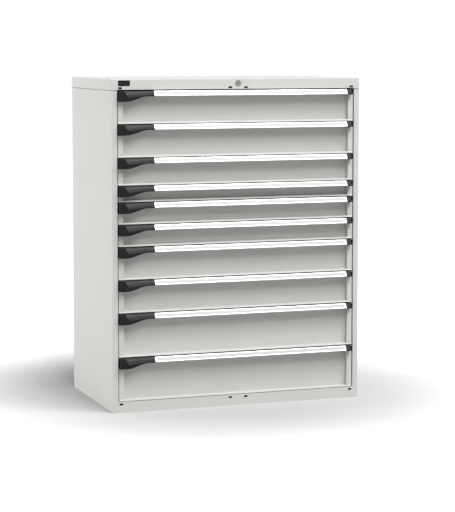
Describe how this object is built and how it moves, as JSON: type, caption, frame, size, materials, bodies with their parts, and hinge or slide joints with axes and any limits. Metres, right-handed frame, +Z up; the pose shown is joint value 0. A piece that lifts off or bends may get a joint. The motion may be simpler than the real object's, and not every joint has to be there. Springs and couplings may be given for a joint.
{
  "type": "drawer cabinet",
  "caption": "Tall sheet-steel drawer cabinet with full-extension drawers, aluminium grip strips, finger catches and a central cylinder lock with a lifting bar.",
  "frame": {"origin": "middle of the footprint, on the floor, handles included", "axes": "+Z up; the drawers open towards -Y; +X to the right seen from the front"},
  "size_m": [1.193, 0.725, 1.5],
  "materials": {
    "painted_steel": "satin light grey powder coat",
    "inner_steel": "satin light grey powder coat",
    "slide_steel": "bright zinc-plated",
    "handle_aluminium": "satin anodised",
    "black_plastic": "fine moulded grain",
    "lock_metal": "turned and brushed"
  },
  "bodies": {
    "cabinet": {"left_side_panel": "painted_steel", "right_side_panel": "painted_steel", "back_panel": "painted_steel", "top_cap": "painted_steel", "base_frame": "painted_steel", "runner_posts": "inner_steel", "fixed_rails": "slide_steel", "lock_housing": "lock_metal"},
    "lock_plug": {"lock_plug": "lock_metal"},
    "lock_bar": {"lock_bar": "slide_steel"},
    "drawer_01": {"drawer_01_tray": "painted_steel", "drawer_01_handle": "handle_aluminium", "drawer_01_end_cap": "black_plastic"},
    "drawer_01_catch": {"drawer_01_catch": "black_plastic"},
    "drawer_01_middle_rails": {"drawer_01_middle_rails": "slide_steel"},
    "drawer_02": {"drawer_02_tray": "painted_steel", "drawer_02_handle": "handle_aluminium", "drawer_02_end_cap": "black_plastic"},
    "drawer_02_catch": {"drawer_02_catch": "black_plastic"},
    "drawer_02_middle_rails": {"drawer_02_middle_rails": "slide_steel"},
    "drawer_03": {"drawer_03_tray": "painted_steel", "drawer_03_handle": "handle_aluminium", "drawer_03_end_cap": "black_plastic"},
    "drawer_03_catch": {"drawer_03_catch": "black_plastic"},
    "drawer_03_middle_rails": {"drawer_03_middle_rails": "slide_steel"},
    "drawer_04": {"drawer_04_tray": "painted_steel", "drawer_04_handle": "handle_aluminium", "drawer_04_end_cap": "black_plastic"},
    "drawer_04_catch": {"drawer_04_catch": "black_plastic"},
    "drawer_04_middle_rails": {"drawer_04_middle_rails": "slide_steel"},
    "drawer_05": {"drawer_05_tray": "painted_steel", "drawer_05_handle": "handle_aluminium", "drawer_05_end_cap": "black_plastic"},
    "drawer_05_catch": {"drawer_05_catch": "black_plastic"},
    "drawer_05_middle_rails": {"drawer_05_middle_rails": "slide_steel"},
    "drawer_06": {"drawer_06_tray": "painted_steel", "drawer_06_handle": "handle_aluminium", "drawer_06_end_cap": "black_plastic"},
    "drawer_06_catch": {"drawer_06_catch": "black_plastic"},
    "drawer_06_middle_rails": {"drawer_06_middle_rails": "slide_steel"},
    "drawer_07": {"drawer_07_tray": "painted_steel", "drawer_07_handle": "handle_aluminium", "drawer_07_end_cap": "black_plastic"},
    "drawer_07_catch": {"drawer_07_catch": "black_plastic"},
    "drawer_07_middle_rails": {"drawer_07_middle_rails": "slide_steel"},
    "drawer_08": {"drawer_08_tray": "painted_steel", "drawer_08_handle": "handle_aluminium", "drawer_08_end_cap": "black_plastic"},
    "drawer_08_catch": {"drawer_08_catch": "black_plastic"},
    "drawer_08_middle_rails": {"drawer_08_middle_rails": "slide_steel"},
    "drawer_09": {"drawer_09_tray": "painted_steel", "drawer_09_handle": "handle_aluminium", "drawer_09_end_cap": "black_plastic"},
    "drawer_09_catch": {"drawer_09_catch": "black_plastic"},
    "drawer_09_middle_rails": {"drawer_09_middle_rails": "slide_steel"},
    "drawer_10": {"drawer_10_tray": "painted_steel", "drawer_10_handle": "handle_aluminium", "drawer_10_end_cap": "black_plastic"},
    "drawer_10_catch": {"drawer_10_catch": "black_plastic"},
    "drawer_10_middle_rails": {"drawer_10_middle_rails": "slide_steel"}
  },
  "joints": [
    {"name": "drawer_01_slide", "type": "slide", "parent": "cabinet", "child": "drawer_01", "axis": [0, -1, 0], "range_m": [0, 0.6]},
    {"name": "drawer_01_middle_slide", "type": "slide", "parent": "cabinet", "child": "drawer_01_middle_rails", "axis": [0, -1, 0], "range_m": [0, 0.3]},
    {"name": "drawer_01_catch_pivot", "type": "hinge", "parent": "drawer_01", "child": "drawer_01_catch", "pos_m": [-0.485, -0.331, 1.4405], "axis": [-1, 0, 0], "range_deg": [0, 10], "stiffness_Nm_per_rad": 0.3},
    {"name": "drawer_02_slide", "type": "slide", "parent": "cabinet", "child": "drawer_02", "axis": [0, -1, 0], "range_m": [0, 0.6]},
    {"name": "drawer_02_middle_slide", "type": "slide", "parent": "cabinet", "child": "drawer_02_middle_rails", "axis": [0, -1, 0], "range_m": [0, 0.3]},
    {"name": "drawer_02_catch_pivot", "type": "hinge", "parent": "drawer_02", "child": "drawer_02_catch", "pos_m": [-0.485, -0.331, 1.2905], "axis": [-1, 0, 0], "range_deg": [0, 10], "stiffness_Nm_per_rad": 0.3},
    {"name": "drawer_03_slide", "type": "slide", "parent": "cabinet", "child": "drawer_03", "axis": [0, -1, 0], "range_m": [0, 0.6]},
    {"name": "drawer_03_middle_slide", "type": "slide", "parent": "cabinet", "child": "drawer_03_middle_rails", "axis": [0, -1, 0], "range_m": [0, 0.3]},
    {"name": "drawer_03_catch_pivot", "type": "hinge", "parent": "drawer_03", "child": "drawer_03_catch", "pos_m": [-0.485, -0.331, 1.1405], "axis": [-1, 0, 0], "range_deg": [0, 10], "stiffness_Nm_per_rad": 0.3},
    {"name": "drawer_04_slide", "type": "slide", "parent": "cabinet", "child": "drawer_04", "axis": [0, -1, 0], "range_m": [0, 0.6]},
    {"name": "drawer_04_middle_slide", "type": "slide", "parent": "cabinet", "child": "drawer_04_middle_rails", "axis": [0, -1, 0], "range_m": [0, 0.3]},
    {"name": "drawer_04_catch_pivot", "type": "hinge", "parent": "drawer_04", "child": "drawer_04_catch", "pos_m": [-0.485, -0.331, 1.0155], "axis": [-1, 0, 0], "range_deg": [0, 10], "stiffness_Nm_per_rad": 0.3},
    {"name": "drawer_05_slide", "type": "slide", "parent": "cabinet", "child": "drawer_05", "axis": [0, -1, 0], "range_m": [0, 0.6]},
    {"name": "drawer_05_middle_slide", "type": "slide", "parent": "cabinet", "child": "drawer_05_middle_rails", "axis": [0, -1, 0], "range_m": [0, 0.3]},
    {"name": "drawer_05_catch_pivot", "type": "hinge", "parent": "drawer_05", "child": "drawer_05_catch", "pos_m": [-0.485, -0.331, 0.9405], "axis": [-1, 0, 0], "range_deg": [0, 10], "stiffness_Nm_per_rad": 0.3},
    {"name": "drawer_06_slide", "type": "slide", "parent": "cabinet", "child": "drawer_06", "axis": [0, -1, 0], "range_m": [0, 0.6]},
    {"name": "drawer_06_middle_slide", "type": "slide", "parent": "cabinet", "child": "drawer_06_middle_rails", "axis": [0, -1, 0], "range_m": [0, 0.3]},
    {"name": "drawer_06_catch_pivot", "type": "hinge", "parent": "drawer_06", "child": "drawer_06_catch", "pos_m": [-0.485, -0.331, 0.8405], "axis": [-1, 0, 0], "range_deg": [0, 10], "stiffness_Nm_per_rad": 0.3},
    {"name": "drawer_07_slide", "type": "slide", "parent": "cabinet", "child": "drawer_07", "axis": [0, -1, 0], "range_m": [0, 0.6]},
    {"name": "drawer_07_middle_slide", "type": "slide", "parent": "cabinet", "child": "drawer_07_middle_rails", "axis": [0, -1, 0], "range_m": [0, 0.3]},
    {"name": "drawer_07_catch_pivot", "type": "hinge", "parent": "drawer_07", "child": "drawer_07_catch", "pos_m": [-0.485, -0.331, 0.7405], "axis": [-1, 0, 0], "range_deg": [0, 10], "stiffness_Nm_per_rad": 0.3},
    {"name": "drawer_08_slide", "type": "slide", "parent": "cabinet", "child": "drawer_08", "axis": [0, -1, 0], "range_m": [0, 0.6]},
    {"name": "drawer_08_middle_slide", "type": "slide", "parent": "cabinet", "child": "drawer_08_middle_rails", "axis": [0, -1, 0], "range_m": [0, 0.3]},
    {"name": "drawer_08_catch_pivot", "type": "hinge", "parent": "drawer_08", "child": "drawer_08_catch", "pos_m": [-0.485, -0.331, 0.5905], "axis": [-1, 0, 0], "range_deg": [0, 10], "stiffness_Nm_per_rad": 0.3},
    {"name": "drawer_09_slide", "type": "slide", "parent": "cabinet", "child": "drawer_09", "axis": [0, -1, 0], "range_m": [0, 0.6]},
    {"name": "drawer_09_middle_slide", "type": "slide", "parent": "cabinet", "child": "drawer_09_middle_rails", "axis": [0, -1, 0], "range_m": [0, 0.3]},
    {"name": "drawer_09_catch_pivot", "type": "hinge", "parent": "drawer_09", "child": "drawer_09_catch", "pos_m": [-0.485, -0.331, 0.4405], "axis": [-1, 0, 0], "range_deg": [0, 10], "stiffness_Nm_per_rad": 0.3},
    {"name": "drawer_10_slide", "type": "slide", "parent": "cabinet", "child": "drawer_10", "axis": [0, -1, 0], "range_m": [0, 0.6]},
    {"name": "drawer_10_middle_slide", "type": "slide", "parent": "cabinet", "child": "drawer_10_middle_rails", "axis": [0, -1, 0], "range_m": [0, 0.3]},
    {"name": "drawer_10_catch_pivot", "type": "hinge", "parent": "drawer_10", "child": "drawer_10_catch", "pos_m": [-0.485, -0.331, 0.2405], "axis": [-1, 0, 0], "range_deg": [0, 10], "stiffness_Nm_per_rad": 0.3},
    {"name": "lock_bar_lift", "type": "slide", "parent": "cabinet", "child": "lock_bar", "axis": [0, 0, 1], "range_m": [0, 0.01]},
    {"name": "lock_turn", "type": "hinge", "parent": "cabinet", "child": "lock_plug", "pos_m": [0, -0.33, 1.481], "axis": [0, -1, 0], "range_deg": [0, 90]}
  ],
  "couplings": [
    {"joint": "drawer_01_middle_slide", "follows": "drawer_01_slide", "ratio": 0.5},
    {"joint": "drawer_02_middle_slide", "follows": "drawer_02_slide", "ratio": 0.5},
    {"joint": "drawer_03_middle_slide", "follows": "drawer_03_slide", "ratio": 0.5},
    {"joint": "drawer_04_middle_slide", "follows": "drawer_04_slide", "ratio": 0.5},
    {"joint": "drawer_05_middle_slide", "follows": "drawer_05_slide", "ratio": 0.5},
    {"joint": "drawer_06_middle_slide", "follows": "drawer_06_slide", "ratio": 0.5},
    {"joint": "drawer_07_middle_slide", "follows": "drawer_07_slide", "ratio": 0.5},
    {"joint": "drawer_08_middle_slide", "follows": "drawer_08_slide", "ratio": 0.5},
    {"joint": "drawer_09_middle_slide", "follows": "drawer_09_slide", "ratio": 0.5},
    {"joint": "drawer_10_middle_slide", "follows": "drawer_10_slide", "ratio": 0.5},
    {"joint": "lock_turn", "follows": "lock_bar_lift", "rad_per_m": 157.03}
  ]
}
